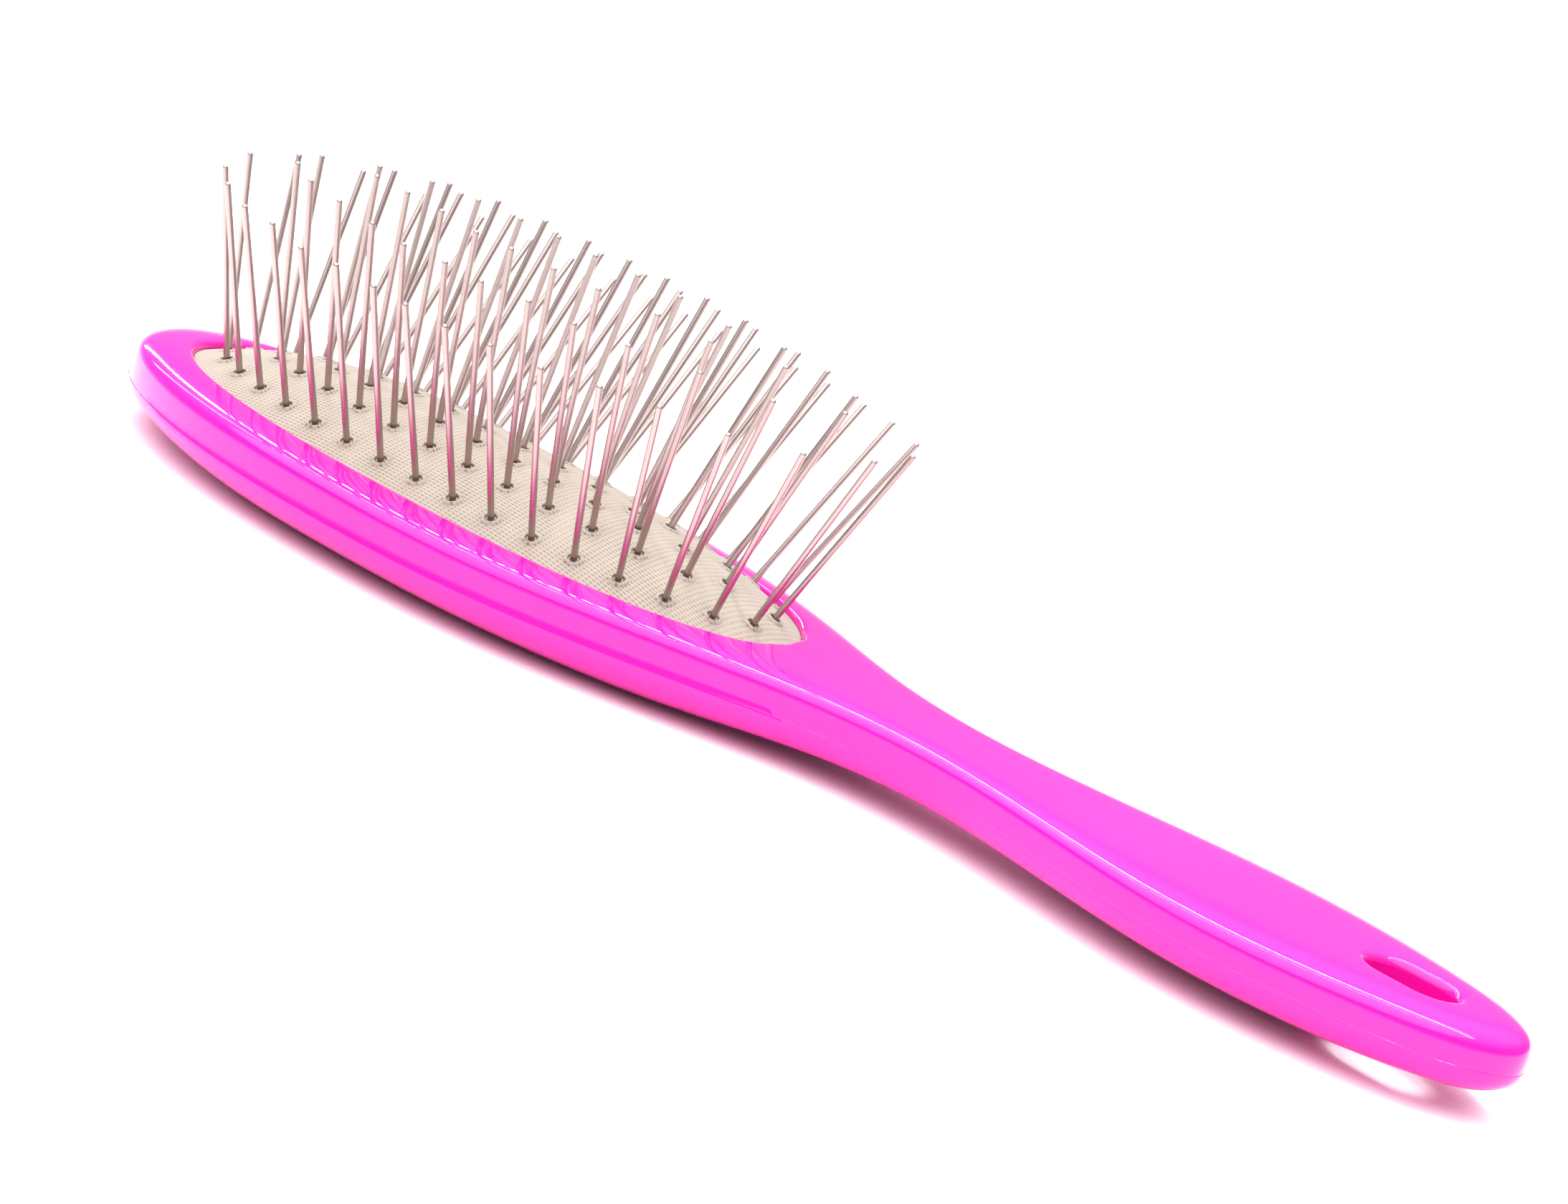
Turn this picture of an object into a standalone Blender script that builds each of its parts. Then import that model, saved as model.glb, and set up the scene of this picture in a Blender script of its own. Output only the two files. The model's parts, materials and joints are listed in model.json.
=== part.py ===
"""Oval pin brush for grooming pets: a one-piece moulded handle with an oval head, a domed rubber
cushion held in a groove in the head, and 88 steel wire pins that stand on the cushion in three
ovals and a middle row.

The brush lies on its back. +X runs along the handle to its end, +Z is the way the pins point, and
the origin is the middle of the length at the level of the back. Lengths below are in millimetres.
"""

import math

import bmesh
import bpy
import numpy as np
from mathutils import Vector

MM = 0.001
MERGE_M = 2e-6  # points closer than this, in metres, become one
CUT_PAST = 2.0  # how far a cutter runs past the surface that it cuts

# --- handle and head ---------------------------------------------------------------------------
HEAD_TIP, HANDLE_END = -62.2, 162.4  # ends of the brush, measured from the middle of the cushion
CUSHION_X = -0.5 * (HEAD_TIP + HANDLE_END)  # the middle of the cushion in the part's own frame
RIM_Z = 12.0  # the upper face where the head meets the neck; the back is flat where it is lowest

# Half of the outline seen from above, from the head's tip to the handle's end.
OUTLINE = (
    (HEAD_TIP, 0.0), (-58.6, 10.4), (-47.0, 19.8), (-28.0, 27.0), (-4.0, 29.8), (18.0, 28.9),
    (36.0, 24.2), (52.0, 17.6), (66.0, 11.8), (79.0, 9.6), (92.0, 10.6), (108.0, 13.9),
    (122.0, 15.8), (136.0, 15.0), (149.0, 11.8), (158.2, 7.3), (HANDLE_END, 0.0),
)
# Heights along the length, from RIM_Z: the upper face, which rises gently to the head's tip and takes
# the cushion and pins with it, the lower face, and the widest line.
TOP_FACE = (
    (-64, 1.0), (-45, 0.8), (-20, 0.5), (20, 0.35), (45, 0.1), (60, -0.3), (80, -0.6), (120, -0.5),
    (150, -0.2), (163, -0.2),
)
BACK_FACE = (
    (-64, -10.3), (-42, -11.4), (-22, -12.6), (0, -12.8), (30, -12.7), (46, -12.0), (60, -10.5),
    (80, -9.2), (100, -9.6), (130, -10.4), (150, -9.7), (163, -8.7),
)
WIDEST_LINE = ((-64, -5.6), (0, -5.6), (60, -5.2), (163, -4.8))
# Exponents of the section: a flat top, softer towards both ends, and a rounder back.
TOP_ROUND = ((-64, 4.6), (-45, 5.0), (-20, 6.6), (20, 7.0), (60, 7.0), (100, 6.2), (140, 5.2), (163, 4.8))
BACK_ROUND = 2.4
SPINE_HEAD, SPINE_END = 22.0, 10.0  # how far inside each end the mesh's middle line stops
SPINE_SLOPE = 0.35  # how fast the middle line moves with the outline at the very ends
OUTLINE_STEPS, TOP_ROWS, BACK_ROWS = 3, 6, 6

# --- recess for the cushion --------------------------------------------------------------------
OPENING_A, OPENING_B, OVAL = 52.0, 22.0, 2.3  # half length, half width and exponent of the oval
LIP, GROOVE_DEEP, GROOVE_FLOOR = 1.6, 1.6, -4.4
CHAMBER_INSET, CHAMBER_FLOOR, CHAMBER_DRAFT = 1.0, -9.0, 1.5

# --- hang hole ---------------------------------------------------------------------------------
HOLE_X, HOLE_LONG, HOLE_WIDE = 146.4, 11.4, 7.4
HOLE_STEPS = 9  # places on each round end

# --- cushion -----------------------------------------------------------------------------------
GAP = 0.3  # clearance to the head all round
DOME = 6.5  # height of its middle over the rim
EDGE_DROP, END_DROP = 0.6, 1.4  # its edge's depth below the rim, at the sides and at the ends
DOME_SIDE, DOME_END = 1.9, 3.0  # exponents of its curve to the sides and to the ends
DOME_BLEND = 1.4  # how quickly the one turns into the other
THICK = 2.0
FLANGE_IN = -1.9  # the flange's inner edge, from the opening's edge
JUST_INSIDE = 0.995  # the edge's slope is taken here, as a share of the way out
DOME_ROWS = 5
OVAL_STEPS = 44

# --- pins --------------------------------------------------------------------------------------
WIRE_R, WIRE_SIDES, HOLE_R = 0.45, 6, 0.85
HEAD_R, HEAD_THICK, HEAD_GAP = 1.1, 0.5, 0.7  # the flat head, and its distance below the rubber
PIN_OUT = 28.6  # from the cushion's face to the tip
LINK_WIDE, LINK_THICK = 0.9, 0.35
HOLE_PAST = 1.5  # how far the clearance holes' cutters run past the rubber
OVAL_PLACES = 1440  # places that an oval of pins is measured along
# Each oval of pins: half length, half width, number, and start as a share of the pitch.
RINGS = {
    "outer": (47.6, 18.5, 34, 0.81),
    "second": (40.5, 12.0, 26, 0.15),
    "third": (33.0, 5.8, 20, 0.0),
}
MIDDLE_HALF, MIDDLE_COUNT = 23.7, 8
# How much the pins lean outwards: at the head's tip, at the handle's end, and at the sides.
LEAN = {
    "outer": (0.22, 0.37, 0.72),
    "second": (0.26, 0.36, 0.80),
    "third": (0.30, 0.38, 0.90),
    "middle": (0.40, 0.45, 0.0),
}
LEAN_TO_HANDLE = 0.06  # and all of them lean a little to the handle
LEAN_SPREAD, SPREAD_SEED = 0.022, 5  # each wire stands a little off its planned direction


def clear_scene():
    for old in list(bpy.data.objects):
        bpy.data.objects.remove(old, do_unlink=True)


def material(name, colour, roughness, metallic=0.0):
    made = bpy.data.materials.new(name)
    made.use_nodes = True
    shader = made.node_tree.nodes["Principled BSDF"]
    shader.inputs["Base Color"].default_value = (*colour, 1.0)
    shader.inputs["Roughness"].default_value = roughness
    shader.inputs["Metallic"].default_value = metallic
    return made


def spline_slopes(knots, values, closed):
    """Second derivatives of the cubic spline through values at the knots."""
    n = len(values)
    step = np.diff(knots)
    system, right = np.eye(n), np.zeros(np.shape(values))
    rows = range(n) if closed else range(1, n - 1)
    for i in rows:
        before, after = step[i - 1], step[i]
        nxt = (i + 1) % n
        system[i] = 0.0
        system[i, i - 1] += before
        system[i, i] += 2 * (before + after)
        system[i, nxt] += after
        right[i] = 6 * ((values[nxt] - values[i]) / after - (values[i] - values[i - 1]) / before)
    return np.linalg.solve(system, right)


def spline_piece(t, step, start, end, bend_start, bend_end):
    """The stretch of a cubic spline between two of its points."""
    left = step - t
    return (
        bend_start * left**3 / (6 * step)
        + bend_end * t**3 / (6 * step)
        + (start / step - bend_start * step / 6) * left
        + (end / step - bend_end * step / 6) * t
    )


def closed_curve(points, steps):
    """A smooth closed curve through the points, with steps places on each stretch."""
    points = np.array(points, float)
    n = len(points)
    gaps = np.sqrt(np.linalg.norm(np.roll(points, -1, 0) - points, axis=1))
    knots = np.concatenate([[0.0], np.cumsum(gaps)])
    bends = spline_slopes(knots, points, closed=True)
    shares = np.linspace(0.0, 1.0, steps, endpoint=False)[:, None]
    pieces = []
    for i in range(n):
        j = (i + 1) % n
        pieces.append(spline_piece(shares * gaps[i], gaps[i], points[i], points[j], bends[i], bends[j]))
    return np.vstack(pieces)


def height_along(table, x):
    """A height from its table of (station, height), as a smooth curve along the length."""
    stations, heights = np.array(table, float).T
    bends = spline_slopes(stations, heights, closed=False)
    x = np.clip(x, stations[0], stations[-1])
    i = np.clip(np.searchsorted(stations, x) - 1, 0, len(stations) - 2)
    step = stations[i + 1] - stations[i]
    return spline_piece(x - stations[i], step, heights[i], heights[i + 1], bends[i], bends[i + 1])


def oval(half_long, half_wide, angles):
    """Places on a superellipse, at these angles from the handle's side."""
    c, s = np.cos(angles), np.sin(angles)
    x = half_long * np.sign(c) * np.abs(c) ** (2 / OVAL)
    y = half_wide * np.sign(s) * np.abs(s) ** (2 / OVAL)
    return np.stack([x, y], axis=-1)


def even_angles(count):
    return np.linspace(0.0, 2 * math.pi, count, endpoint=False)


def add_tube(mesh, rows, cap=True):
    """Adds rows of points, in millimetres, with faces between neighbouring rows and over the ends."""
    made = [[mesh.verts.new(Vector(p) * MM) for p in row] for row in rows]
    count = len(made[0])
    for low, high in zip(made[:-1], made[1:]):
        for i in range(count):
            j = (i + 1) % count
            mesh.faces.new((low[i], low[j], high[j], high[i]))
    if cap:
        mesh.faces.new(reversed(made[0]))
        mesh.faces.new(made[-1])


def finished_mesh(name, mesh, look):
    """The closed mesh, smooth but for its sharp edges. End rows that fold onto a line are merged."""
    bmesh.ops.remove_doubles(mesh, verts=mesh.verts, dist=MERGE_M)
    bmesh.ops.recalc_face_normals(mesh, faces=mesh.faces)
    data = bpy.data.meshes.new(name)
    mesh.to_mesh(data)
    mesh.free()
    data.shade_smooth()
    data.set_sharp_from_angle(angle=math.radians(40))
    data.materials.append(look)
    return data


def add_object(name, data):
    made = bpy.data.objects.new(name, data)
    bpy.context.scene.collection.objects.link(made)
    return made


def mesh_object(name, rows, look, cap=True):
    """An object that is one closed tube of rows."""
    mesh = bmesh.new()
    add_tube(mesh, rows, cap)
    return add_object(name, finished_mesh(name, mesh, look))


def as_cutter(cutter):
    cutter.hide_render = True
    cutter.display_type = "WIRE"
    return cutter


def boolean(target, other, operation):
    step = target.modifiers.new(operation.lower(), "BOOLEAN")
    step.operation = operation
    step.solver = "EXACT"
    step.object = other


def spine(x):
    """The middle line that each place on the outline is joined to, kept inside both ends."""

    def inside(distance, stop):
        bend = 0.5 * (1 - SPINE_SLOPE)
        reach = stop / bend
        near_end = stop + SPINE_SLOPE * distance + bend * distance**2 / reach
        return np.where(distance < reach, near_end, distance)

    x = HEAD_TIP + inside(x - HEAD_TIP, SPINE_HEAD)
    return HANDLE_END - inside(HANDLE_END - x, SPINE_END)


def body_row(outline, turn, face, roundness):
    """One row round the body: turn 0 is the widest line and 1 the middle of a face."""
    angle = 0.5 * math.pi * turn
    reach = math.cos(angle) ** (2 / roundness) if turn < 1 else 0.0
    lift = math.sin(angle) ** (2 / roundness)
    middle = spine(outline[:, 0])
    x = middle + (outline[:, 0] - middle) * reach
    y = outline[:, 1] * reach
    widest = height_along(WIDEST_LINE, x)
    z = RIM_Z + widest + (height_along(face, x) - widest) * lift
    return np.stack([x + CUSHION_X, y, np.maximum(z, 0.0)], axis=1)  # the back is flat where it rests


def handle(look):
    other_side = [(x, -y) for x, y in OUTLINE[-2:0:-1]]
    outline = closed_curve([*OUTLINE, *other_side], OUTLINE_STEPS)
    roundness = height_along(TOP_ROUND, outline[:, 0])
    top = [body_row(outline, k / TOP_ROWS, TOP_FACE, roundness) for k in range(TOP_ROWS, 0, -1)]
    back = [body_row(outline, k / BACK_ROWS, BACK_FACE, BACK_ROUND) for k in range(BACK_ROWS + 1)]
    body = mesh_object("handle", top + back, look, cap=False)
    boolean(body, recess_cutter(look), "DIFFERENCE")
    boolean(body, hang_hole_cutter(look), "DIFFERENCE")
    return body


def recess_cutter(look):
    """The opening, the groove under its lip that holds the cushion, and the air chamber."""
    steps = (
        (0.0, CUT_PAST), (0.0, -LIP), (GROOVE_DEEP, -LIP), (GROOVE_DEEP, GROOVE_FLOOR),
        (-CHAMBER_INSET, GROOVE_FLOOR), (-CHAMBER_INSET - CHAMBER_DRAFT, CHAMBER_FLOOR),
    )
    rows = [oval_row(out, height) for out, height in steps]
    return as_cutter(mesh_object("recess_cutter", rows, look))


def oval_row(out, height):
    """A row round the cushion's oval, out beyond the opening's edge, at a height from the upper face."""
    x, y = oval(OPENING_A + out, OPENING_B + out, even_angles(OVAL_STEPS)).T
    return np.stack([x + CUSHION_X, y, RIM_Z + height_along(TOP_FACE, x) + height], axis=1)


def hang_hole_cutter(look):
    """A slot with round ends, through the handle near its end."""
    radius = 0.5 * HOLE_WIDE
    straight = 0.5 * HOLE_LONG - radius
    flat = []
    for side, start in ((1, -90), (-1, 90)):
        for k in range(HOLE_STEPS):
            angle = math.radians(start + 180 * k / (HOLE_STEPS - 1))
            flat.append((side * straight + radius * math.cos(angle), radius * math.sin(angle)))
    middle = HOLE_X + CUSHION_X
    rows = [[(middle + x, y, z) for x, y in flat] for z in (-CUT_PAST, RIM_Z + CUT_PAST)]
    return as_cutter(mesh_object("hang_hole_cutter", rows, look))


def dome_height(x, y):
    """Height of the cushion's face over RIM_Z, at a place measured from the cushion's middle.
    The face is round across the brush, and nearly level along it until close to the ends."""
    along, across = (x / OPENING_A) ** 2, (y / OPENING_B) ** 2
    share = (along ** (OVAL / 2) + across ** (OVAL / 2)) ** (1 / OVAL)
    endwise = (along / np.maximum(along + across, 1e-9)) ** DOME_BLEND
    exponent = DOME_SIDE + (DOME_END - DOME_SIDE) * endwise
    drop = EDGE_DROP + (END_DROP - EDGE_DROP) * endwise
    dome = DOME - (DOME + drop) * np.minimum(share, 1.0) ** exponent
    return dome + height_along(TOP_FACE, x)


def dome_normal(x, y):
    small = 0.01
    slope_x = (dome_height(x + small, y) - dome_height(x - small, y)) / (2 * small)
    slope_y = (dome_height(x, y + small) - dome_height(x, y - small)) / (2 * small)
    return Vector((-slope_x, -slope_y, 1.0)).normalized()


def cushion(look, pins):
    """The domed face, a flange in the head's groove, and an even thickness of rubber."""
    edge_a, edge_b = OPENING_A - GAP, OPENING_B - GAP
    angles = even_angles(OVAL_STEPS)

    def face(share, depth):
        row = []
        for x, y in oval(edge_a * share, edge_b * share, angles):
            normal = dome_normal(x * JUST_INSIDE, y * JUST_INSIDE)
            point = Vector((x + CUSHION_X, y, RIM_Z + dome_height(x, y)))
            row.append(point - normal * depth)
        return row

    flange_top, flange_foot = -LIP - GAP, GROOVE_FLOOR + GAP
    flange_out = GROOVE_DEEP - GAP
    shares = [math.sin(0.5 * math.pi * k / DOME_ROWS) for k in range(DOME_ROWS + 1)]
    outside = [face(share, 0.0) for share in shares]
    flange = [
        oval_row(-GAP, flange_top), oval_row(flange_out, flange_top),
        oval_row(flange_out, flange_foot), oval_row(FLANGE_IN, flange_foot),
    ]
    inside = [face(share, THICK) for share in reversed(shares)]
    pad = mesh_object("cushion_pad", outside + flange + inside, look, cap=False)
    boolean(pad, pin_hole_cutter(look, pins), "DIFFERENCE")
    return pad


def turned_rows(stations):
    """Rings round +Z, from (height, radius)."""
    return [
        [Vector((radius * math.cos(a), radius * math.sin(a), height)) for a in even_angles(WIRE_SIDES)]
        for height, radius in stations
    ]


def upright(direction):
    """The turn that takes +Z to a pin's direction."""
    return direction.to_track_quat("Z", "Y")


def pin_hole_cutter(look, pins):
    """All of the clearance holes in the cushion, as one mesh of separate bodies."""
    mesh = bmesh.new()
    straight = turned_rows(((-THICK - HOLE_PAST, HOLE_R), (HOLE_PAST, HOLE_R)))
    for base, direction in pins:
        turn = upright(direction)
        add_tube(mesh, [[base + turn @ p for p in row] for row in straight])
    return as_cutter(add_object("pin_hole_cutter", finished_mesh("pin_hole_cutter", mesh, look)))


def even_places(half_long, half_wide, count, start):
    """Places at an even pitch round an oval, from the head's tip past the -Y side."""
    fine = oval(half_long, half_wide, even_angles(OVAL_PLACES) - math.pi)
    ring = np.vstack([fine, fine[:1]])
    along = np.concatenate([[0.0], np.cumsum(np.linalg.norm(np.diff(ring, axis=0), axis=1))])
    wanted = (np.arange(count) + start) % count / count * along[-1]
    return np.stack([np.interp(wanted, along, ring[:, 0]), np.interp(wanted, along, ring[:, 1])], axis=1)


def pin_at(x, y, lean, chance):
    """Where a pin leaves the cushion's face, and its direction."""
    base = Vector((x + CUSHION_X, y, RIM_Z + dome_height(x, y)))
    at_tip, at_handle, at_side = lean
    share = x / OPENING_A
    along = LEAN_TO_HANDLE + (at_tip if x < 0 else at_handle) * share * abs(share)
    off_x, off_y = chance.uniform(-LEAN_SPREAD, LEAN_SPREAD, 2)
    return base, Vector((along + off_x, at_side * y / OPENING_B + off_y, 1.0)).normalized()


def pin_plan():
    """Every pin as (base, direction), by the name of its oval or row."""
    chance = np.random.default_rng(SPREAD_SEED)
    plan = {}
    for name, ring in RINGS.items():
        plan[name] = [pin_at(x, y, LEAN[name], chance) for x, y in even_places(*ring)]
    row = np.linspace(-MIDDLE_HALF, MIDDLE_HALF, MIDDLE_COUNT)
    plan["middle"] = [pin_at(x, 0.0, LEAN["middle"], chance) for x in row]
    return plan


def pin_mesh(look):
    """A wire that stands on the origin, with a flat head below the rubber. All of the pins share it."""
    foot = -(THICK + HEAD_GAP + HEAD_THICK)
    top = foot + HEAD_THICK
    mesh = bmesh.new()
    add_tube(mesh, turned_rows(((foot, HEAD_R), (top, HEAD_R), (top, WIRE_R), (PIN_OUT, WIRE_R))))
    return finished_mesh("pin", mesh, look)


def press_axis(name):
    """The empty that one oval or row of pins rides on: it slides along Z over the cushion's middle."""
    axis = add_object(f"{name}_press_axis", None)
    axis.location = Vector((CUSHION_X, 0.0, RIM_Z)) * MM
    return axis


def pin(name, data, base, direction, axis):
    """A pin whose origin is where it leaves the cushion's face."""
    wire = add_object(name, data)
    wire.parent = axis
    wire.location = base * MM - axis.location
    wire.rotation_mode = "QUATERNION"
    wire.rotation_quaternion = upright(direction)
    return wire


def pin_pair(name, data, first, second, axis, look):
    """Two neighbouring pins whose heads are joined by a flat bar under the cushion."""
    wire = pin(name, data, *first, axis)
    partner = as_cutter(pin(name + "_partner", data, *second, axis))
    depth = THICK + HEAD_GAP + 0.5 * HEAD_THICK
    start, end = (base - direction * depth for base, direction in (first, second))
    along = end - start
    up = (first[1] + second[1]).normalized()
    across = along.cross(up).normalized() * (0.5 * LINK_WIDE)
    rise = across.cross(along).normalized() * (0.5 * LINK_THICK)
    rows = [
        [place + across + rise, place - across + rise, place - across - rise, place + across - rise]
        for place in (start, end)
    ]
    bar = as_cutter(mesh_object(name + "_bar", rows, look))
    boolean(wire, bar, "UNION")
    boolean(wire, partner, "UNION")


def build():
    clear_scene()
    pink = material("handle_plastic", (0.90, 0.04, 0.66), 0.12)
    cream = material("cushion_face", (0.85, 0.74, 0.60), 0.85)
    steel = material("pin_wire", (0.62, 0.60, 0.60), 0.18, metallic=1.0)
    plan = pin_plan()
    handle(pink)
    cushion(cream, [one for group in plan.values() for one in group])
    data = pin_mesh(steel)
    for group in ("middle", "third"):
        axis = press_axis(group)
        for k, (base, direction) in enumerate(plan[group], start=1):
            pin(f"pin_{group}_{k:02d}", data, base, direction, axis)
    for group in ("second", "outer"):
        axis = press_axis(group)
        pins = plan[group]
        for k in range(0, len(pins), 2):
            pin_pair(f"pin_pair_{group}_{k // 2 + 1:02d}", data, pins[k], pins[k + 1], axis, steel)


build()
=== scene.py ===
"""Looks of the pin brush: a glossy pink handle, a cream woven cushion and 88 bright steel wires.

Lengths are in millimetres in the frame's own axes, unless a name ends in _M or _m. The tables of the
handle's form are measured along the brush from the cushion's middle, and up from the rim (RIM_Z).
"""

import json
import math

import bmesh
import bpy
import numpy as np
from mathutils import Matrix, Vector


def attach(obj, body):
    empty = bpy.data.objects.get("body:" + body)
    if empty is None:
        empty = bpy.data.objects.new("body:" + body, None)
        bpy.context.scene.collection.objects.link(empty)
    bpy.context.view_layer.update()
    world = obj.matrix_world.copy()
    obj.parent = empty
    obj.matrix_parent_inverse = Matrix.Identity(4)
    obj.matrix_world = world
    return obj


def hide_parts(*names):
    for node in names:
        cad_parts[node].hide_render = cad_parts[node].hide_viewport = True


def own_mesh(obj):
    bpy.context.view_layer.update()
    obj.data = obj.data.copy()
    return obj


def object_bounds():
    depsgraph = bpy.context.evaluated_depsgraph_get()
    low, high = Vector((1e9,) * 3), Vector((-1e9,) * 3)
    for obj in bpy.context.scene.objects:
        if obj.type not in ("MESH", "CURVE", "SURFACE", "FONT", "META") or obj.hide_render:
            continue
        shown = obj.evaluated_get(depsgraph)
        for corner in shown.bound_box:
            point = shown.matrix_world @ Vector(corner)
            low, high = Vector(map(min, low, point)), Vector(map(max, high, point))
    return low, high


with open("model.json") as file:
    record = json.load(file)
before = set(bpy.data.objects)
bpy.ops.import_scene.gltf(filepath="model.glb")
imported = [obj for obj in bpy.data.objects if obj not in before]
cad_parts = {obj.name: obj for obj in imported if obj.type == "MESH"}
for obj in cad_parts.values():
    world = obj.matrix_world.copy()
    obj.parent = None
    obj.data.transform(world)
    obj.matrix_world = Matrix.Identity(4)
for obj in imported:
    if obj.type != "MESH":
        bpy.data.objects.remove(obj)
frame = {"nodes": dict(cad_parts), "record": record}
cad_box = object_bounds()

MM = 0.001

# --- the handle's form, as the CAD model has it -------------------------------------------------
HEAD_TIP, HANDLE_END = -62.2, 162.4  # ends of the brush from the middle of the cushion
CUSHION_X = -0.5 * (HEAD_TIP + HANDLE_END)
RIM_Z = 12.0
OUTLINE = (
    (HEAD_TIP, 0.0), (-58.6, 10.4), (-47.0, 19.8), (-28.0, 27.0), (-4.0, 29.8), (18.0, 28.9),
    (36.0, 24.2), (52.0, 17.6), (66.0, 11.8), (79.0, 9.6), (92.0, 10.6), (108.0, 13.9),
    (122.0, 15.8), (136.0, 15.0), (149.0, 11.8), (158.2, 7.3), (HANDLE_END, 0.0),
)
TOP_FACE = (
    (-64, 1.0), (-45, 0.8), (-20, 0.5), (20, 0.35), (45, 0.1), (60, -0.3), (80, -0.6), (120, -0.5),
    (150, -0.2), (163, -0.2),
)
BACK_FACE = (
    (-64, -10.3), (-42, -11.4), (-22, -12.6), (0, -12.8), (30, -12.7), (46, -12.0), (60, -10.5),
    (80, -9.2), (100, -9.6), (130, -10.4), (150, -9.7), (163, -8.7),
)
WIDEST_LINE = ((-64, -5.6), (0, -5.6), (60, -5.2), (163, -4.8))
# How full the section is above and below the widest line: 2 is an ellipse, more has a tighter shoulder.
TOP_ROUND = (
    (-64, 4.6), (-45, 5.0), (-20, 6.6), (20, 7.0), (60, 7.0), (100, 6.2), (140, 5.2), (163, 4.8),
)
BACK_ROUND = 2.4
SPINE_HEAD, SPINE_END = 22.0, 10.0  # how far from each end the spine stops
SPINE_SLOPE = 0.35  # how closely the spine's place follows the outline's, at both ends
OPENING_A, OPENING_B, OVAL = 52.0, 22.0, 2.3  # half length, half width and exponent of the opening
LIP, GROOVE_DEEP, GROOVE_FLOOR = 1.6, 1.6, -4.4  # the lip's thickness, and the groove under it
CHAMBER_INSET, CHAMBER_FLOOR, CHAMBER_DRAFT = 1.0, -9.0, 1.5
HOLE_X, HOLE_LONG, HOLE_WIDE = 146.4, 11.4, 7.4
RIM_ROUND, HOLE_ROUND = 1.0, 1.3  # rounded edges of the opening and of the hang hole
PARTING_DEEP = 0.07  # depth of the moulding line round the body
BESIDE_LINE = 1.0 - 1e-5  # reach of the rows on both sides of the moulding line
OUTLINE_STEPS, TOP_ROWS, BACK_ROWS, RIM_STEPS = 12, 30, 22, 8
HOLE_STEPS, HOLE_BENDS = 24, (84, 72, 60, 48, 36, 24, 12, 0)
CUTTER_WIDE, CUTTER_OUT = 6.0, 0.7  # extra width and height of the hang hole's cutter, past both faces
SEARCH_STEPS = 40  # halvings in the search for the opening's edge

# --- the cushion's form -------------------------------------------------------------------------
GAP, FACE_GAP = 0.3, 0.06  # clearance to the head: of the hidden flange, and of the face's edge
DOME = 6.5
EDGE_DROP, END_DROP = 0.6, 1.4  # how far the edge lies under the rim: at the sides, and at the ends
DOME_SIDE, DOME_END, DOME_BLEND = 1.9, 3.0, 1.4  # the dome's exponents, and how they pass over
THICK = 2.0  # of the rubber
FLANGE_IN = -1.9  # inner edge of the flange, from the opening's wall
JUST_INSIDE = 0.995  # the slope is taken a little inside the edge, because the dome ends on it
PAD_ROWS, PAD_STEPS = 110, 480
ROW_BUNCHING = 0.9  # below 1 it spreads the rows of the face from its middle
RUBBER_ROWS = (1.0, 0.9, 0.7, 0.4, 0.0)  # rows of the rubber's inner face, as shares of the oval
DIMPLE_DEEP, DIMPLE_WIDE = 0.18, 1.6  # the soft hollow round each wire
SHADE_DARK, SHADE_WIDE = 0.22, 1.7  # painted shade round the foot of each wire: its darkness there, and how far it spreads
# Section of the pucker round each wire, from its outer foot over its crest and down to the wire:
# distance from the wire's axis, height over the cushion's face, and how much painted shade it carries,
# darkest down in the pit.
PUCKER = (
    (1.64, -0.26, 0.05), (1.42, -0.06, 0.12), (1.24, 0.12, 0.0), (1.08, 0.21, 0.0), (0.94, 0.21, 0.0),
    (0.84, 0.10, 0.35), (0.77, -0.08, 0.9), (0.72, -0.70, 1.0), (1.64, -0.70, 1.0),
)
PUCKER_SIDES = 28

# --- the wires ----------------------------------------------------------------------------------
WIRE_R, WIRE_OUT, WIRE_IN = 0.45, 28.6, 3.2  # radius, length over the cushion, length below its face
HEAD_R, HEAD_THICK = 1.1, 0.5
WIRE_SIDES, TIP_STEPS = 20, 5

# --- meshes: places that are closer than this are one, and edges sharper than this (degrees) stay --
HANDLE_WELD_M, CUSHION_WELD_M, WIRE_WELD_M = 2e-6, 1e-6, 1e-7
HARD_EDGE, SOFT_EDGE = 50, 60

# --- colours: each surface varies between two ---------------------------------------------------
PLASTIC_COLOURS = (0.62, 0.003, 0.268), (0.66, 0.005, 0.292)
CLOTH_COLOURS = (0.165, 0.128, 0.096), (0.318, 0.265, 0.221)
# Painted shade: the dark colour put in the pit round each wire.
PIT_SHADE_COLOUR = (0.035, 0.02, 0.016)
WIRE_COLOURS = (0.34, 0.265, 0.25), (0.43, 0.34, 0.325)
FLOOR_COLOUR = (0.90, 0.90, 0.90)
THREADS = (("Y", 0.52), ("X", 0.80))  # the direction that each set of threads repeats in, and its pitch
WAVE_M = 0.314  # length of one wave of a Wave texture at scale 1
CROSS_SHARE, BLOTCH_SHARE = 0.35, 0.5  # how much the crossing threads and the blotches show

# --- light --------------------------------------------------------------------------------------
# The sky's brightness by height: 0 on the horizon, 1 at the zenith.
SKY = ((0.0, 1.5), (0.06, 1.2), (0.14, 0.5), (0.4, 0.55), (0.8, 1.9), (1.0, 2.4))
KEY_PLACE, KEY_POWER, KEY_WIDTH = (-0.15, -0.45, 0.9), 3.3, 90.0  # one wide sun
# Long thin strip lights over the brush: name, direction, distance, length and width (all three in
# metres), power, and the direction that the strip runs in.
STRIPS = (
    ("strip_long", (-0.30, 0.30, 0.93), 1.2, 3.8, 0.045, 24.0, (1.235, -0.40, 0.65)),
    ("strip_low", (-0.45, 0.06, 0.89), 1.2, 2.4, 0.02, 4.0, (1.235, -0.40, 0.65)),
)
FLOOR_HALF_M = 6.0

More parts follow.
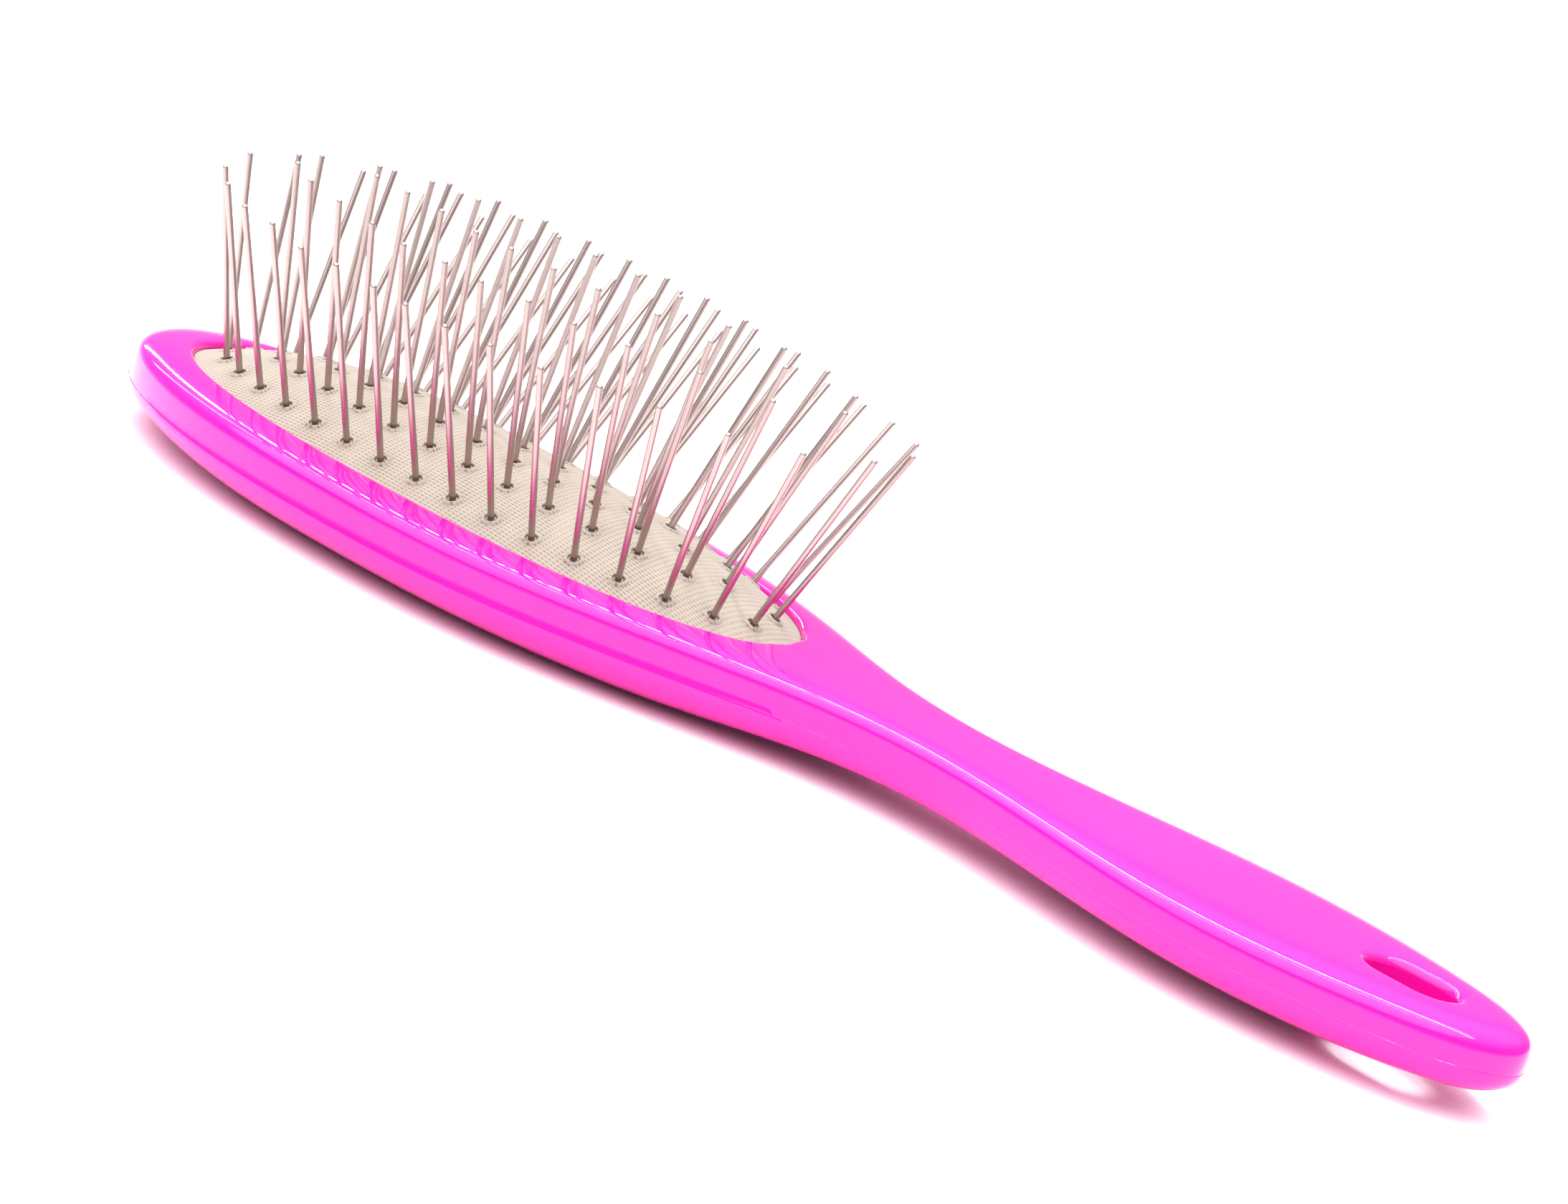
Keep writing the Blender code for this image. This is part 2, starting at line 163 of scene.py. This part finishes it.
# --- camera: place, direction, roll (degrees), and focal length and sensor (both in millimetres) --
CAMERA_PLACE_M, CAMERA_DIRECTION = (0.2304, -0.3809, 0.1279), (-0.5021, 0.8301, -0.2424)
CAMERA_ROLL, LENS, SENSOR = 19.18, 82.3, 36.0


# ------------------------------------------------------------------------------------------------
# Curves
# ------------------------------------------------------------------------------------------------
def spline_slopes(knots, values, closed):
    """Second derivatives of the cubic spline through values at the knots."""
    n = len(values)
    step = np.diff(knots)
    system, right = np.eye(n), np.zeros(np.shape(values))
    for i in range(n) if closed else range(1, n - 1):
        before, after = step[i - 1], step[i]
        nxt = (i + 1) % n
        system[i] = 0.0
        system[i, i - 1] += before
        system[i, i] += 2 * (before + after)
        system[i, nxt] += after
        right[i] = 6 * ((values[nxt] - values[i]) / after - (values[i] - values[i - 1]) / before)
    return np.linalg.solve(system, right)


def spline_piece(t, step, start, end, bend_start, bend_end):
    """The stretch of a cubic spline between two of its points."""
    left = step - t
    return (
        bend_start * left**3 / (6 * step)
        + bend_end * t**3 / (6 * step)
        + (start / step - bend_start * step / 6) * left
        + (end / step - bend_end * step / 6) * t
    )


def closed_curve(points, steps):
    """A smooth closed curve through the points, with steps places on each stretch."""
    points = np.array(points, float)
    n = len(points)
    gaps = np.sqrt(np.linalg.norm(np.roll(points, -1, 0) - points, axis=1))
    bends = spline_slopes(np.concatenate([[0.0], np.cumsum(gaps)]), points, closed=True)
    shares = np.linspace(0.0, 1.0, steps, endpoint=False)[:, None]
    pieces = []
    for i in range(n):
        nxt = (i + 1) % n
        ends = points[i], points[nxt], bends[i], bends[nxt]
        pieces.append(spline_piece(shares * gaps[i], gaps[i], *ends))
    return np.vstack(pieces)


def height_along(table, x):
    """A height from its table of (station, height), as a smooth curve along the length."""
    stations, heights = np.array(table, float).T
    bends = spline_slopes(stations, heights, closed=False)
    x = np.clip(x, stations[0], stations[-1])
    i = np.clip(np.searchsorted(stations, x) - 1, 0, len(stations) - 2)
    step = stations[i + 1] - stations[i]
    return spline_piece(x - stations[i], step, heights[i], heights[i + 1], bends[i], bends[i + 1])


def oval(half_long, half_wide, angles):
    """Places on a superellipse, at these angles from the handle's side."""
    c, s = np.cos(angles), np.sin(angles)
    x = half_long * np.sign(c) * np.abs(c) ** (2 / OVAL)
    y = half_wide * np.sign(s) * np.abs(s) ** (2 / OVAL)
    return np.stack([x, y], axis=-1)


def oval_share(x, y, half_long, half_wide):
    """0 at the oval's middle and 1 on its edge."""
    return (np.abs(x / half_long) ** OVAL + np.abs(y / half_wide) ** OVAL) ** (1 / OVAL)


# ------------------------------------------------------------------------------------------------
# Objects and materials
# ------------------------------------------------------------------------------------------------
def link(name, mesh, look, sharp_angle=None):
    """Makes an object of the mesh, smooth but for edges sharper than the angle."""
    data = bpy.data.meshes.new(name)
    mesh.to_mesh(data)
    mesh.free()
    data.shade_smooth()
    if sharp_angle:
        data.set_sharp_from_angle(angle=math.radians(sharp_angle))
    data.materials.append(look)
    made = bpy.data.objects.new(name, data)
    bpy.context.scene.collection.objects.link(made)
    return made


def add_rows(mesh, rows):
    """Adds rows of points, in millimetres, with faces between neighbouring rows."""
    made = [[mesh.verts.new(Vector(p) * MM) for p in row] for row in rows]
    count = len(made[0])
    for low, high in zip(made[:-1], made[1:]):
        for i in range(count):
            j = (i + 1) % count
            mesh.faces.new((low[i], low[j], high[j], high[i]))
    return made


def ring(radius, z, angles):
    """Points at these angles round the Z axis."""
    return [Vector((radius * math.cos(a), radius * math.sin(a), z)) for a in angles]


def close(mesh, weld_m):
    """Joins the places that meet, and turns every face outwards."""
    bmesh.ops.remove_doubles(mesh, verts=mesh.verts, dist=weld_m)
    bmesh.ops.recalc_face_normals(mesh, faces=mesh.faces)


def apply_modifiers(piece):
    """Puts the evaluated mesh in place of the piece's own, and drops its modifiers."""
    graph = bpy.context.evaluated_depsgraph_get()
    graph.update()
    result = bpy.data.meshes.new_from_object(piece.evaluated_get(graph))
    piece.modifiers.clear()
    piece.data = result


def new_look(name):
    look = bpy.data.materials.new(name)
    look.use_nodes = True
    return look, look.node_tree.nodes, look.node_tree.links


def object_place(nodes, links, scale):
    """Places on the piece itself, stretched by scale along its axes."""
    place = nodes.new("ShaderNodeTexCoord")
    stretch = nodes.new("ShaderNodeMapping")
    stretch.inputs["Scale"].default_value = scale
    links.new(place.outputs["Object"], stretch.inputs["Vector"])
    return stretch.outputs["Vector"]


def noise(nodes, links, vector, scale, detail):
    made = nodes.new("ShaderNodeTexNoise")
    made.inputs["Scale"].default_value = scale
    made.inputs["Detail"].default_value = detail
    links.new(vector, made.inputs["Vector"])
    return made.outputs["Fac"]


def spread(nodes, links, value, low, high):
    """Takes a value of 0.3 to 0.7 to low to high."""
    made = nodes.new("ShaderNodeMapRange")
    made.inputs["From Min"].default_value = 0.3
    made.inputs["From Max"].default_value = 0.7
    made.inputs["To Min"].default_value = low
    made.inputs["To Max"].default_value = high
    links.new(value, made.inputs["Value"])
    return made.outputs["Result"]


def colour_between(nodes, links, value, low, high):
    """The colour low where the value is 0.3, and high where it is 0.7."""
    made = nodes.new("ShaderNodeMix")
    made.data_type = "RGBA"
    made.inputs["A"].default_value = (*low, 1.0)
    made.inputs["B"].default_value = (*high, 1.0)
    links.new(spread(nodes, links, value, low=0.0, high=1.0), made.inputs["Factor"])
    return made.outputs["Result"]


def bump(nodes, links, height, strength, deep_m, normal=None):
    made = nodes.new("ShaderNodeBump")
    made.inputs["Strength"].default_value = strength
    made.inputs["Distance"].default_value = deep_m
    links.new(height, made.inputs["Height"])
    if normal is not None:
        links.new(normal, made.inputs["Normal"])
    return made.outputs["Normal"]


def pink_plastic():
    """Glossy moulded plastic: faintly cloudy, with a slight ripple."""
    look, nodes, links = new_look("pink_plastic")
    shader = nodes["Principled BSDF"]
    shader.inputs["IOR"].default_value = 1.49
    shader.inputs["Specular IOR Level"].default_value = 0.4
    place = object_place(nodes, links, (1, 1, 1))
    cloud = noise(nodes, links, place, scale=28.0, detail=2.0)
    links.new(spread(nodes, links, cloud, low=0.05, high=0.10), shader.inputs["Roughness"])
    links.new(colour_between(nodes, links, cloud, *PLASTIC_COLOURS), shader.inputs["Base Color"])
    ripple = noise(nodes, links, place, scale=420.0, detail=2.0)
    links.new(bump(nodes, links, ripple, strength=0.05, deep_m=0.0001), shader.inputs["Normal"])
    return look


def cream_weave():
    """Fine cloth bonded to rubber: close threads along the brush, crossed by fainter ones set wider
    apart. It is darkened with painted shade where the painted_shade attribute says so: round each wire,
    and deep in the puckers."""
    look, nodes, links = new_look("cream_weave")
    shader = nodes["Principled BSDF"]
    shader.inputs["Roughness"].default_value = 0.85
    shader.inputs["Sheen Weight"].default_value = 0.2
    place = object_place(nodes, links, (1, 1, 1))
    threads = []
    for direction, pitch in THREADS:
        wave = nodes.new("ShaderNodeTexWave")
        wave.bands_direction = direction
        wave.inputs["Scale"].default_value = WAVE_M / (pitch * MM)
        wave.inputs["Distortion"].default_value = 1.4
        wave.inputs["Detail"].default_value = 2.0
        wave.inputs["Detail Scale"].default_value = 0.35
        links.new(place, wave.inputs["Vector"])
        threads.append(wave.outputs["Fac"])
    both = nodes.new("ShaderNodeMix")
    both.inputs["Factor"].default_value = CROSS_SHARE
    links.new(threads[0], both.inputs["A"])
    links.new(threads[1], both.inputs["B"])
    weave = both.outputs["Result"]
    blotch = noise(nodes, links, place, scale=160.0, detail=4.0)
    shade = nodes.new("ShaderNodeMath")
    shade.operation = "MULTIPLY_ADD"
    shade.inputs[1].default_value = BLOTCH_SHARE
    links.new(blotch, shade.inputs[0])
    links.new(weave, shade.inputs[2])
    cloth = colour_between(nodes, links, shade.outputs["Value"], *CLOTH_COLOURS)
    # Painted shade: the cloth is darkened towards the pit's shade colour round each wire and in the
    # puckers' pits.
    painted_shade = nodes.new("ShaderNodeAttribute")
    painted_shade.attribute_name = "painted_shade"
    cloth_with_painted_shade = nodes.new("ShaderNodeMix")
    cloth_with_painted_shade.data_type = "RGBA"
    cloth_with_painted_shade.inputs["B"].default_value = (*PIT_SHADE_COLOUR, 1.0)
    links.new(painted_shade.outputs["Fac"], cloth_with_painted_shade.inputs["Factor"])
    links.new(cloth, cloth_with_painted_shade.inputs["A"])
    links.new(cloth_with_painted_shade.outputs["Result"], shader.inputs["Base Color"])
    woven = bump(nodes, links, weave, strength=0.6, deep_m=0.00014)
    uneven = bump(nodes, links, blotch, strength=0.25, deep_m=0.0002, normal=woven)
    links.new(uneven, shader.inputs["Normal"])
    return look


def bright_wire():
    """Drawn steel wire, with faint marks along it."""
    look, nodes, links = new_look("bright_wire")
    shader = nodes["Principled BSDF"]
    shader.inputs["Metallic"].default_value = 1.0
    place = object_place(nodes, links, (1, 1, 0.02))
    marks = noise(nodes, links, place, scale=2600.0, detail=3.0)
    links.new(spread(nodes, links, marks, low=0.26, high=0.36), shader.inputs["Roughness"])
    links.new(colour_between(nodes, links, marks, *WIRE_COLOURS), shader.inputs["Base Color"])
    links.new(bump(nodes, links, marks, strength=0.06, deep_m=0.00005), shader.inputs["Normal"])
    return look


# ------------------------------------------------------------------------------------------------
# Handle
# ------------------------------------------------------------------------------------------------
def spine(x):
    """The middle line that each place on the outline is joined to, kept inside both ends."""

    def inside(distance, stop):
        """Never less than stop, and the distance itself where that is large."""
        bend = 0.5 * (1 - SPINE_SLOPE)
        reach = stop / bend
        near_end = stop + SPINE_SLOPE * distance + bend * distance**2 / reach
        return np.where(distance < reach, near_end, distance)

    x = HEAD_TIP + inside(x - HEAD_TIP, SPINE_HEAD)
    return HANDLE_END - inside(HANDLE_END - x, SPINE_END)


def opening_reach(outline, middle, half_long, half_wide):
    """Where the line from the spine to the outline crosses the opening's oval: 0 on the spine."""
    low, high = np.zeros(len(middle)), np.ones(len(middle))
    for _ in range(SEARCH_STEPS):
        mid = 0.5 * (low + high)
        x = middle + (outline[:, 0] - middle) * mid
        within = oval_share(x, outline[:, 1] * mid, half_long, half_wide) < 1.0
        low, high = np.where(within, mid, low), np.where(within, high, mid)
    return np.where(middle < half_long, low, 0.0)


def body_row(outline, middle, reach, face, roundness, inset=0.0):
    """A row round the body, on its upper face or its back. reach is 1 on the widest line and 0 on the
    spine, and inset is how far the row lies inside its place."""
    x = middle + (outline[:, 0] - middle) * reach
    y = outline[:, 1] * reach
    if inset:
        inward = np.stack([middle - outline[:, 0], -outline[:, 1]], axis=1)
        inward *= inset / np.linalg.norm(inward, axis=1)[:, None]
        x, y = x + inward[:, 0], y + inward[:, 1]
    lift = np.maximum(1.0 - np.clip(reach, 0.0, 1.0) ** roundness, 0.0) ** (1 / roundness)
    widest = height_along(WIDEST_LINE, x)
    z = RIM_Z + widest + (height_along(face, x) - widest) * lift
    return np.stack([x + CUSHION_X, y, np.maximum(z, 0.0)], axis=1)


def body_rows(outline, middle, inner):
    """Rows from the spine of the back, out round the widest line and over the upper face to the
    opening."""
    count = len(outline)
    roundness = height_along(TOP_ROUND, outline[:, 0])
    rows = []
    for k in range(BACK_ROWS, 0, -1):
        reach = max(math.cos(0.5 * math.pi * k / BACK_ROWS), 0.0) ** (2 / BACK_ROUND)
        rows.append(body_row(outline, middle, np.full(count, reach), BACK_FACE, BACK_ROUND))
    rows.append(body_row(outline, middle, np.full(count, BESIDE_LINE), BACK_FACE, BACK_ROUND))
    rows.append(body_row(outline, middle, np.ones(count), TOP_FACE, roundness, PARTING_DEEP))
    rows.append(body_row(outline, middle, np.full(count, BESIDE_LINE), TOP_FACE, roundness))
    end_turn = np.arccos(np.clip(inner, 0.0, 1.0) ** (roundness / 2))
    for k in range(1, TOP_ROWS + 1):
        reach = np.maximum(np.cos(end_turn * k / TOP_ROWS), 0.0) ** (2 / roundness)
        rows.append(body_row(outline, middle, reach, TOP_FACE, roundness))
    return rows


def opening_rows(start):
    """Rows from the upper face round the opening's edge, lip and groove to the chamber's floor."""
    x, y = start[:, 0] - CUSHION_X, start[:, 1]
    a, b = OPENING_A + RIM_ROUND, OPENING_B + RIM_ROUND
    half = OVAL / 2
    turn = np.arctan2(np.sign(y) * np.abs(y / b) ** half, np.sign(x) * np.abs(x / a) ** half)

    def row(out, heights):
        flat = oval(OPENING_A + out, OPENING_B + out, turn)
        return [Vector((px + CUSHION_X, py, pz)) for (px, py), pz in zip(flat, heights)]

    rows = []
    for k in range(1, RIM_STEPS + 1):
        bend = 0.5 * math.pi * k / RIM_STEPS
        heights = start[:, 2] - RIM_ROUND * (1 - math.cos(bend))
        rows.append(row(RIM_ROUND * (1 - math.sin(bend)), heights))
    for out, height in (
        (0.0, -LIP), (GROOVE_DEEP, -LIP), (GROOVE_DEEP, GROOVE_FLOOR), (-CHAMBER_INSET, GROOVE_FLOOR),
        (-CHAMBER_INSET - CHAMBER_DRAFT, CHAMBER_FLOOR),
    ):
        flat_x = oval(OPENING_A + out, OPENING_B + out, turn)[:, 0]
        rows.append(row(out, RIM_Z + height_along(TOP_FACE, flat_x) + height))
    return rows


def handle(look):
    """One body: its outer skin, then the opening's inside, and last the hang hole cut through it."""
    outline = closed_curve([*OUTLINE, *[(x, -y) for x, y in OUTLINE[-2:0:-1]]], OUTLINE_STEPS)
    count = len(outline)
    middle = spine(outline[:, 0])
    a, b = OPENING_A + RIM_ROUND, OPENING_B + RIM_ROUND
    last = int(np.argmin(np.abs(middle[: count // 2] - a)))
    middle[[last, count - last]] = a  # the opening's end falls on one column
    mesh = bmesh.new()
    edge = add_rows(mesh, body_rows(outline, middle, opening_reach(outline, middle, a, b)))[-1]
    before = [edge[c] for c in (*range(count - last, count), *range(last + 1))]
    start = np.array([np.array(v.co) / MM for v in before])
    for row in opening_rows(start):
        fresh = [mesh.verts.new(p * MM) for p in row]
        for i in range(len(row) - 1):
            mesh.faces.new((before[i], before[i + 1], fresh[i + 1], fresh[i]))
        before = fresh
    mesh.faces.new(before[:-1])
    close(mesh, HANDLE_WELD_M)
    body = link("brush_handle", mesh, look, HARD_EDGE)
    cut = body.modifiers.new("hang_hole", "BOOLEAN")
    cut.operation = "DIFFERENCE"
    cut.solver = "EXACT"
    cutter = hang_hole_cutter(look)
    cut.object = cutter
    apply_modifiers(body)
    bpy.data.objects.remove(cutter, do_unlink=True)
    body.data.set_sharp_from_angle(angle=math.radians(HARD_EDGE))
    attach(body, "handle_and_cushion")
    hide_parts("handle")


def hang_hole_cutter(look):
    """A slot with round ends, flared where it meets the upper face and the back."""
    radius = 0.5 * HOLE_WIDE
    straight = 0.5 * HOLE_LONG - radius
    top = RIM_Z + float(height_along(TOP_FACE, np.array([HOLE_X]))[0])
    back = RIM_Z + float(height_along(BACK_FACE, np.array([HOLE_X]))[0])
    bends = [math.radians(bend) for bend in HOLE_BENDS]
    flare = [(HOLE_ROUND * (1 - math.cos(t)), HOLE_ROUND * (1 - math.sin(t))) for t in bends]
    wide = flare[0][0] + CUTTER_WIDE
    profile = [
        (wide, back - CUTTER_OUT), *[(out, back + deep) for out, deep in flare],
        *[(out, top - deep) for out, deep in reversed(flare)], (wide, top + CUTTER_OUT),
    ]
    rows = []
    for out, z in profile:
        row = []
        for side, start in ((1, -90), (-1, 90)):
            for k in range(HOLE_STEPS):
                angle = math.radians(start + 180 * k / (HOLE_STEPS - 1))
                x = HOLE_X + CUSHION_X + side * straight + (radius + out) * math.cos(angle)
                row.append((x, (radius + out) * math.sin(angle), z))
        rows.append(row)
    mesh = bmesh.new()
    made = add_rows(mesh, rows)
    mesh.faces.new(reversed(made[0]))
    mesh.faces.new(made[-1])
    bmesh.ops.recalc_face_normals(mesh, faces=mesh.faces)
    return link("hang_hole_cutter", mesh, look)


# ------------------------------------------------------------------------------------------------
# Wires
# ------------------------------------------------------------------------------------------------
def wires_of(node):
    """(tip, direction) of each wire in a CAD node, from the flat ring of points at its top."""
    points = np.array([v.co for v in node.data.vertices]) / MM
    high = points[points[:, 2] > 0.5 * (points[:, 2].min() + points[:, 2].max())]
    found = []
    while len(high):
        near = np.linalg.norm(high - high[0], axis=1) < 3 * WIRE_R
        end = np.unique(np.round(high[near], 4), axis=0)
        tip = end.mean(axis=0)
        direction = np.linalg.svd(end - tip)[2][2]  # the way in which the ring of points is thinnest
        found.append((Vector(tip), Vector(direction * np.sign(direction[2]))))
        high = high[~near]
    return sorted(found, key=lambda wire: wire[0].x)


def wire_mesh(look):
    """One wire, standing on the origin: a flat head under the cushion and a rounded tip."""
    head_top = HEAD_THICK - WIRE_IN
    profile = [(0.0, -WIRE_IN), (HEAD_R, -WIRE_IN), (HEAD_R, head_top), (WIRE_R, head_top)]
    for k in range(TIP_STEPS + 1):
        bend = 0.5 * math.pi * k / TIP_STEPS
        profile.append((WIRE_R * math.cos(bend), WIRE_OUT - WIRE_R + WIRE_R * math.sin(bend)))
    angles = np.linspace(0, 2 * math.pi, WIRE_SIDES, endpoint=False)
    mesh = bmesh.new()
    add_rows(mesh, [ring(radius, z, angles) for radius, z in profile])
    close(mesh, WIRE_WELD_M)
    made = link("wire_pattern", mesh, look, HARD_EDGE)
    data = made.data
    bpy.data.objects.remove(made)
    return data


def wires(look):
    """Every wire, riding on its own body. Returns where they pass through the cushion's face."""
    data = wire_mesh(look)
    bases = []
    for body in ("middle_pins", "third_pins", "second_pins", "outer_pins"):
        number = 0
        for node_name in frame["record"]["behaviour"]["bodies"][body]:
            for k, (tip, direction) in enumerate(wires_of(frame["nodes"][node_name])):
                number += 1
                wire = bpy.data.objects.new(f"wire_{body.split('_')[0]}_{number:02d}", data)
                bpy.context.scene.collection.objects.link(wire)
                base = tip - direction * WIRE_OUT
                wire.rotation_mode = "QUATERNION"
                wire.rotation_quaternion = direction.to_track_quat("Z", "Y")
                wire.location = base * MM
                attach(wire, body)
                if k == 0:
                    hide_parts(node_name)
                bases.append(np.array(base))
    return np.array(bases)


# ------------------------------------------------------------------------------------------------
# Cushion
# ------------------------------------------------------------------------------------------------
def dome_height(x, y):
    """Height of the cushion's face over RIM_Z, at a place measured from the cushion's middle."""
    along, across = (x / OPENING_A) ** 2, (y / OPENING_B) ** 2
    share = (along ** (OVAL / 2) + across ** (OVAL / 2)) ** (1 / OVAL)
    endwise = (along / np.maximum(along + across, 1e-9)) ** DOME_BLEND
    exponent = DOME_SIDE + (DOME_END - DOME_SIDE) * endwise
    drop = EDGE_DROP + (END_DROP - EDGE_DROP) * endwise
    dome = DOME - (DOME + drop) * np.minimum(share, 1.0) ** exponent
    return dome + height_along(TOP_FACE, x)


def dome_normals(x, y):
    """The way that the cushion's face looks, at places measured from the cushion's middle."""
    small = 0.01
    slope_x = (dome_height(x + small, y) - dome_height(x - small, y)) / (2 * small)
    slope_y = (dome_height(x, y + small) - dome_height(x, y - small)) / (2 * small)
    normals = np.stack([-slope_x, -slope_y, np.ones_like(x)], axis=1)
    return normals / np.linalg.norm(normals, axis=1)[:, None]


def as_cushion(piece):
    """Rides with the handle, with a mesh of its own."""
    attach(piece, "handle_and_cushion")
    rise = float(dome_height(np.zeros(1), np.zeros(1))[0]) + END_DROP
    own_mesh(piece)


def cushion(look, bases):
    """The domed face with a hollow round each wire, the flange in the head's groove, and the rubber's
    inner face."""
    angles = np.linspace(0, 2 * math.pi, PAD_STEPS, endpoint=False)
    a, b = OPENING_A - FACE_GAP, OPENING_B - FACE_GAP

    def face(share, depth=0.0):
        """A row on the cushion's face, or this deep under it."""
        x, y = oval(a * share, b * share, angles).T
        normals = dome_normals(x * JUST_INSIDE, y * JUST_INSIDE)
        points = np.stack([x + CUSHION_X, y, RIM_Z + dome_height(x, y)], axis=1)
        if depth == 0.0:
            gap = np.linalg.norm(points[:, None, :] - bases[None, :, :], axis=2)
            depth = DIMPLE_DEEP * np.exp(-((gap / DIMPLE_WIDE) ** 2)).sum(axis=1)[:, None]
        return points - normals * depth

    def flange(out, height):
        """A row this far out from the opening's wall, and this high over the rim."""
        x, y = oval(OPENING_A + out, OPENING_B + out, angles).T
        return np.stack([x + CUSHION_X, y, RIM_Z + height_along(TOP_FACE, x) + height], axis=1)

    flange_top, flange_foot = -LIP - GAP, GROOVE_FLOOR + GAP
    shares = np.sin(0.5 * math.pi * np.linspace(0, 1, PAD_ROWS + 1) ** ROW_BUNCHING)
    rows = [face(share) for share in shares]
    rows += [
        flange(-GAP, flange_top), flange(GROOVE_DEEP - GAP, flange_top),
        flange(GROOVE_DEEP - GAP, flange_foot), flange(FLANGE_IN, flange_foot),
    ]
    rows += [face(share, THICK) for share in RUBBER_ROWS]
    mesh = bmesh.new()
    add_rows(mesh, rows)
    close(mesh, CUSHION_WELD_M)
    # Painted shade round the foot of each wire, stored as an attribute that the cloth's material reads.
    painted_shade = mesh.verts.layers.float.new("painted_shade")
    bases_m = bases * MM
    for v in mesh.verts:
        gap = np.linalg.norm(bases_m - np.array(v.co), axis=1).min() / MM
        v[painted_shade] = SHADE_DARK * math.exp(-((gap / SHADE_WIDE) ** 2))
    pad = link("brush_cushion", mesh, look, SOFT_EDGE)
    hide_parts("cushion_pad")
    as_cushion(pad)


def puckers(look, bases):
    """The cloth drawn up round each wire, as one piece of 88 small rings."""
    mesh = bmesh.new()
    painted_shade = mesh.verts.layers.float.new("painted_shade")
    angles = np.linspace(0, 2 * math.pi, PUCKER_SIDES, endpoint=False)
    normals = dome_normals(bases[:, 0] - CUSHION_X, bases[:, 1])
    section = (*PUCKER, PUCKER[0])
    for base, normal in zip(bases, normals):
        turn = Vector(normal).to_track_quat("Z", "Y")
        rows = []
        for radius, height, _ in section:
            rows.append([Vector(base) + turn @ p for p in ring(radius, height, angles)])
        # Each ring carries its share of painted shade, darkest in the pit round the wire.
        for row, (_, _, dark) in zip(add_rows(mesh, rows), section):
            for v in row:
                v[painted_shade] = dark
    close(mesh, CUSHION_WELD_M)
    as_cushion(link("cushion_puckers", mesh, look, SOFT_EDGE))


# ------------------------------------------------------------------------------------------------
# Floor, light and camera
# ------------------------------------------------------------------------------------------------
def floor():
    look, nodes, _ = new_look("pale_floor")
    shader = nodes["Principled BSDF"]
    shader.inputs["Base Color"].default_value = (*FLOOR_COLOUR, 1.0)
    shader.inputs["Roughness"].default_value = 0.9
    shader.inputs["Specular IOR Level"].default_value = 0.1
    mesh = bmesh.new()
    bmesh.ops.create_grid(mesh, x_segments=1, y_segments=1, size=FLOOR_HALF_M)
    ground = link("floor", mesh, look)
    ground.location.z = cad_box[0].z


def studio():
    """A pale sky, one wide soft sun and the thin strip lights."""
    world = bpy.data.worlds.new("studio")
    world.use_nodes = True
    nodes, links = world.node_tree.nodes, world.node_tree.links
    direction = nodes.new("ShaderNodeTexCoord")
    split = nodes.new("ShaderNodeSeparateXYZ")
    ramp = nodes.new("ShaderNodeValToRGB")
    links.new(direction.outputs["Generated"], split.inputs["Vector"])
    links.new(split.outputs["Z"], ramp.inputs["Fac"])
    stops = ramp.color_ramp.elements
    for height, _ in SKY[1:-1]:
        stops.new(height)
    for stop, (height, light) in zip(stops, SKY):
        stop.position = height
        stop.color = (light, light, light, 1.0)
    links.new(ramp.outputs["Color"], nodes["Background"].inputs["Color"])
    bpy.context.scene.world = world
    sun = bpy.data.lights.new("key", "SUN")
    sun.energy = KEY_POWER
    sun.angle = math.radians(KEY_WIDTH)
    place_lamp(sun, KEY_PLACE, (1, 0, 0), distance_m=1.0)
    for name, place, distance_m, length, width, power, along in STRIPS:
        strip = bpy.data.lights.new(name, "AREA")
        strip.shape = "RECTANGLE"
        strip.size, strip.size_y = length, width
        strip.energy = power
        place_lamp(strip, place, along, distance_m)


def place_lamp(data, place, along, distance_m):
    """Puts a lamp in the direction place, shining on the brush, with its length along."""
    out = Vector(place).normalized()
    length = (Vector(along) - out * Vector(along).dot(out)).normalized()
    turn = Matrix((length, out.cross(length), out)).transposed()
    lamp = bpy.data.objects.new(data.name, data)
    lamp.rotation_mode = "QUATERNION"
    lamp.rotation_quaternion = turn.to_quaternion()
    lamp.location = out * distance_m
    bpy.context.scene.collection.objects.link(lamp)


def camera():
    """Looks from the near side of the handle, a little above the brush, with the head to the left."""
    data = bpy.data.cameras.new("camera")
    data.sensor_width = SENSOR
    data.lens = LENS
    made = bpy.data.objects.new("camera", data)
    made.location = CAMERA_PLACE_M
    level = Vector(CAMERA_DIRECTION).to_track_quat("-Z", "Y").to_matrix()
    made.rotation_mode = "QUATERNION"
    roll = Matrix.Rotation(math.radians(CAMERA_ROLL), 3, "Z")
    made.rotation_quaternion = (level @ roll).to_quaternion()
    bpy.context.scene.collection.objects.link(made)
    bpy.context.scene.camera = made


handle(pink_plastic())
bases = wires(bright_wire())
cloth = cream_weave()
cushion(cloth, bases)
puckers(cloth, bases)
floor()
studio()
camera()
bpy.context.scene.view_settings.view_transform = "Standard"
